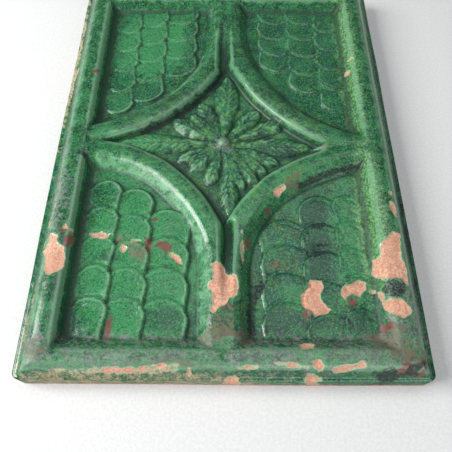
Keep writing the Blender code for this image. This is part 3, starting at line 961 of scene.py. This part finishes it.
def green_glaze(fired_clay, ragged_edge):
    """Lead glaze coloured with copper: dark where it pooled, pale where it ran thin, chipped to the clay."""
    material, tree, at, shader = new_material("green glaze")
    fields = {name: pattern(tree, at, *values) for name, values in glaze_patterns.items()}
    areas = {name: marked_area(tree, at, ragged_edge, name) for name in mark_edges}
    fields.update({name: area["Mask"] for name, area in areas.items()})
    fields["rim"] = areas["chip"]["Rim"]
    proud, mottle, speck = mark(tree, "proud"), fields["mottle"], fields["speck"]
    height_here = add_node(tree, "ShaderNodeSeparateXYZ", {"Vector": at}).outputs["Z"]
    fields["low_ground"] = ramped(tree, height_here, *low_ground_end, 1.0, 0.15)
    fields["rubbed"] = sum_of(tree, proud, ramped(tree, mottle, 0.3, 0.7, -0.12, 0.12))
    fields["grime"] = sum_of(tree, fields["tint"], speck)
    fields["film"] = layered(tree, fields, dull_film, film_layers)
    fields["film_share"] = product_of(tree, fields["dull"], ramped(tree, fields["dust"], *film_spread))
    fields["olive_film"] = layered(tree, fields, olive_film, olive_film_layers)

    run_down = sum_of(tree, height_here, ramped(tree, mottle, 0.2, 0.8, *glaze_run))
    bare_edge = ramped(tree, run_down, *glaze_start, 1.0, 0.0)
    bare = worked_out(tree, "MAXIMUM", fields["chip"], bare_edge)
    clay = place_group(tree, fired_clay, {"Vector": at, "Dirt": levelled(tree, bare_edge, 0.2, 1.0)})
    colour = layered(tree, fields, deep_glaze, glaze_layers + wear_and_shade_layers)
    tree.links.new(mixed(tree, bare, colour, clay["Color"]), shader.inputs["Base Color"])

    sheen = ramped(tree, mottle, 0.35, 0.7, *glaze_roughness)
    duller = (
        (ramped(tree, proud, -0.55, -0.15, 1.0, 0.0), hollow_roughness),
        (ramped(tree, height_here, *edge_top, 1.0, 0.0), edge_roughness),
        (product_of(tree, fields["star"], 0.7), star_roughness),
        (product_of(tree, fields["low_ground"], ramped(tree, proud, 0.0, 0.22)), low_edge_roughness),
        (fields["film_share"], film_roughness),
        (worked_out(tree, "MAXIMUM", fields["scar"], fields["soot_and_shade"]), stain_roughness),
        (bare, clay_roughness),
    )
    for share, roughness in duller:
        sheen = levelled(tree, share, sheen, roughness)
    tree.links.new(sheen, shader.inputs["Roughness"])

    skin = sum_of(tree, product_of(tree, speck, 0.5), mottle)
    skin = levelled(tree, bare, sum_of(tree, skin, 0.6), clay["Height"])
    skin = sum_of(tree, skin, product_of(tree, bare, -1.6))
    bump = add_node(tree, "ShaderNodeBump", {**glaze_bump, "Height": skin})
    tree.links.new(bump.outputs["Normal"], shader.inputs["Normal"])
    return material


def bare_clay(fired_clay):
    """Unglazed back, as it was pressed and scraped."""
    material, tree, at, shader = new_material("bare clay")
    clay = place_group(tree, fired_clay, {"Vector": at, "Dirt": 0.7})
    smoke = ramped(tree, pattern(tree, at, *clay_smoke), 0.45, 0.75, 0.0, 0.5)
    tree.links.new(mixed(tree, smoke, clay["Color"], clay_dirt), shader.inputs["Base Color"])
    shader.inputs["Roughness"].default_value = back_roughness
    bump = add_node(tree, "ShaderNodeBump", {**back_bump, "Height": clay["Height"]})
    tree.links.new(bump.outputs["Normal"], shader.inputs["Normal"])
    return material


# The camera stands below the middle of the tile and looks down on it
photo_pixels = 452
focal_pixels = 480
sensor_width = 36.0
camera_place = (1.4 * mm, -175.5 * mm, 242.2 * mm)
camera_tilt = 27.792            # degrees from straight down
camera_roll = 0.322

# Soft lamps round the tile: place, size and power. The world gives the rest of the light
softboxes = {
    "window": ((-0.75, -0.12, 0.55), (0.6, 0.5), 12.5),
    "ceiling": ((0.1, 0.3, 1.2), (1.0, 1.0), 3.5),
    "room_front": ((0.45, -1.1, 0.45), (1.2, 0.7), 7.0),
}
room_colour = (0.9, 0.95, 1.0, 1.0)
room_strength = 0.28
floor_width = 4.0


def add_camera():
    lens = bpy.data.cameras.new("camera")
    lens.sensor_width = sensor_width
    lens.lens = focal_pixels / photo_pixels * sensor_width
    camera = bpy.data.objects.new("camera", lens)
    camera.location = camera_place
    camera.rotation_euler = (math.radians(camera_tilt), 0.0, math.radians(camera_roll))
    bpy.context.scene.collection.objects.link(camera)
    bpy.context.scene.camera = camera


def add_floor():
    bpy.ops.mesh.primitive_plane_add(size=floor_width, location=(0.0, 0.0, 0.0))
    floor = bpy.context.object
    floor.name = "floor"
    material, tree, at, shader = new_material("pale floor")
    grain = ramped(tree, pattern(tree, at, *floor_grain), 0.35, 0.65)
    tree.links.new(mixed(tree, grain, *floor_colours), shader.inputs["Base Color"])
    shader.inputs["Roughness"].default_value = floor_roughness
    floor.data.materials.append(material)


def add_softbox(name, place_at, size, power):
    """Lamp that shines on the middle of the tile."""
    lamp = bpy.data.lights.new(name, "AREA")
    lamp.shape = "RECTANGLE"
    lamp.size, lamp.size_y = size
    lamp.energy = power
    light = bpy.data.objects.new(name, lamp)
    light.location = place_at
    light.rotation_euler = (-Vector(place_at)).to_track_quat("-Z", "Y").to_euler()
    bpy.context.scene.collection.objects.link(light)


def add_light():
    for name, (place_at, size, power) in softboxes.items():
        add_softbox(name, place_at, size, power)
    world = bpy.data.worlds.new("room")
    world.use_nodes = True
    background = world.node_tree.nodes["Background"].inputs
    background["Color"].default_value = room_colour
    background["Strength"].default_value = room_strength
    bpy.context.scene.world = world


fired_clay = fired_clay_group()
ragged_edge = ragged_edge_group()
tile = add_piece("relief_tile", tile_mesh(), "glazed_clay", "tile")
tile.data.materials.append(green_glaze(fired_clay, ragged_edge))
tile.data.materials.append(bare_clay(fired_clay))
add_floor()
add_light()
add_camera()
bpy.context.scene.view_settings.view_transform = "Standard"

bpy.context.view_layer.update()
